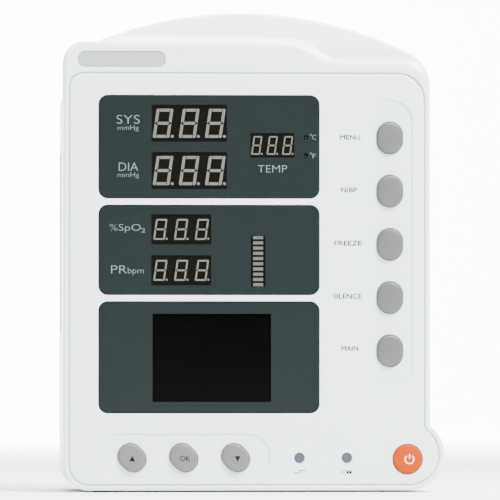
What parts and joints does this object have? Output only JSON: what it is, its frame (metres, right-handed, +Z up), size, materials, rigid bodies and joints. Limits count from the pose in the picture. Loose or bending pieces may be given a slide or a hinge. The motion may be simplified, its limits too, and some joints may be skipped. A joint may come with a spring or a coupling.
{
  "type": "patient monitor",
  "caption": "Bedside vital signs monitor: white moulded case with a grip arch, dark display windows, oval keys and a round power key in a corner lobe.",
  "frame": {"origin": "centre of the overall box in plan, at the level the feet stand on", "axes": "+Z up, front faces -Y, +X to the right seen from the front"},
  "size_m": [0.1856, 0.108, 0.2333],
  "materials": {
    "case_plastic": "satin moulded ABS, cool white",
    "panel_plastic": "satin moulded ABS, cool white",
    "window_acrylic": "clear acrylic printed slate grey behind, polished",
    "alarm_lens_plastic": "frosted polycarbonate",
    "lamp_plastic": "clear polycarbonate, faintly blue",
    "side_key_plastic": "fine-textured grey ABS",
    "nav_key_plastic": "fine-textured light grey ABS",
    "power_key_plastic": "fine-textured orange ABS",
    "rubber_black": "matt",
    "black_nylon": "glass-filled nylon",
    "led_case_plastic": "black polycarbonate",
    "segment_epoxy": "diffused epoxy, unlit",
    "bar_epoxy": "diffused epoxy, unlit",
    "led_epoxy": "clear epoxy",
    "lcd_glass": "dark polished display glass",
    "board_laminate": "solder-masked glass-epoxy laminate",
    "battery_wrap": "heat-shrink wrap",
    "cable_vinyl": "grey vinyl",
    "tube_silicone": "translucent silicone",
    "steel": "zinc plated",
    "zinc_plate": "zinc plated",
    "nickel": "nickel plated brass",
    "brass": "turned brass",
    "socket_blue": "moulded nylon, blue"
  },
  "bodies": {
    "housing": {"front_shell": "case_plastic", "front_panel": "panel_plastic", "rear_shell": "case_plastic", "shell_seal": "rubber_black", "alarm_lens": "alarm_lens_plastic", "alarm_board": "board_laminate", "window_upper": "window_acrylic", "window_middle": "window_acrylic", "window_lower": "window_acrylic", "lamp_lenses": "lamp_plastic", "case_screws": "steel", "small_screws": "steel", "rubber_feet": "rubber_black", "mount_inserts": "brass", "battery_pack": "battery_wrap", "tact_switches": "black_nylon", "display_board": "board_laminate", "indicator_leds": "led_epoxy", "led_sys": "led_case_plastic", "led_dia": "led_case_plastic", "led_temp": "led_case_plastic", "led_spo2": "led_case_plastic", "led_pulse": "led_case_plastic", "led_segments": "segment_epoxy", "pulse_bar": "led_case_plastic", "pulse_bar_segments": "bar_epoxy", "lcd_frame": "black_nylon", "lcd_panel": "lcd_glass", "main_board": "board_laminate", "ribbon_cable": "cable_vinyl", "power_supply": "board_laminate", "pump_motor": "zinc_plate", "pump_head": "black_nylon", "air_valve": "zinc_plate", "air_tubes": "tube_silicone", "speaker": "black_nylon", "nibp_socket": "nickel", "spo2_socket": "socket_blue", "temp_socket": "nickel", "mains_inlet": "black_nylon", "earth_post": "brass"},
    "menu_key": {"key_menu": "side_key_plastic", "plunger_menu": "black_nylon"},
    "nibp_key": {"key_nibp": "side_key_plastic", "plunger_nibp": "black_nylon"},
    "freeze_key": {"key_freeze": "side_key_plastic", "plunger_freeze": "black_nylon"},
    "silence_key": {"key_silence": "side_key_plastic", "plunger_silence": "black_nylon"},
    "main_key": {"key_main": "side_key_plastic", "plunger_main": "black_nylon"},
    "up_key": {"key_up": "nav_key_plastic", "plunger_up": "black_nylon"},
    "ok_key": {"key_ok": "nav_key_plastic", "plunger_ok": "black_nylon"},
    "down_key": {"key_down": "nav_key_plastic", "plunger_down": "black_nylon"},
    "power_key": {"key_power": "power_key_plastic", "plunger_power": "black_nylon"},
    "battery_door": {"battery_cover": "case_plastic"}
  },
  "joints": [
    {"name": "menu_press", "type": "slide", "parent": "housing", "child": "menu_key", "axis": [0, 1, 0], "range_m": [0, 0.001], "stiffness_N_per_m": 1200},
    {"name": "nibp_press", "type": "slide", "parent": "housing", "child": "nibp_key", "axis": [0, 1, 0], "range_m": [0, 0.001], "stiffness_N_per_m": 1200},
    {"name": "freeze_press", "type": "slide", "parent": "housing", "child": "freeze_key", "axis": [0, 1, 0], "range_m": [0, 0.001], "stiffness_N_per_m": 1200},
    {"name": "silence_press", "type": "slide", "parent": "housing", "child": "silence_key", "axis": [0, 1, 0], "range_m": [0, 0.001], "stiffness_N_per_m": 1200},
    {"name": "main_press", "type": "slide", "parent": "housing", "child": "main_key", "axis": [0, 1, 0], "range_m": [0, 0.001], "stiffness_N_per_m": 1200},
    {"name": "up_press", "type": "slide", "parent": "housing", "child": "up_key", "axis": [0, 1, 0], "range_m": [0, 0.001], "stiffness_N_per_m": 1200},
    {"name": "ok_press", "type": "slide", "parent": "housing", "child": "ok_key", "axis": [0, 1, 0], "range_m": [0, 0.001], "stiffness_N_per_m": 1200},
    {"name": "down_press", "type": "slide", "parent": "housing", "child": "down_key", "axis": [0, 1, 0], "range_m": [0, 0.001], "stiffness_N_per_m": 1200},
    {"name": "power_press", "type": "slide", "parent": "housing", "child": "power_key", "axis": [0, 1, 0], "range_m": [0, 0.001], "stiffness_N_per_m": 1200},
    {"name": "battery_cover_pull", "type": "slide", "parent": "housing", "child": "battery_door", "axis": [0, 1, 0], "range_m": [0, 0.03]}
  ]
}
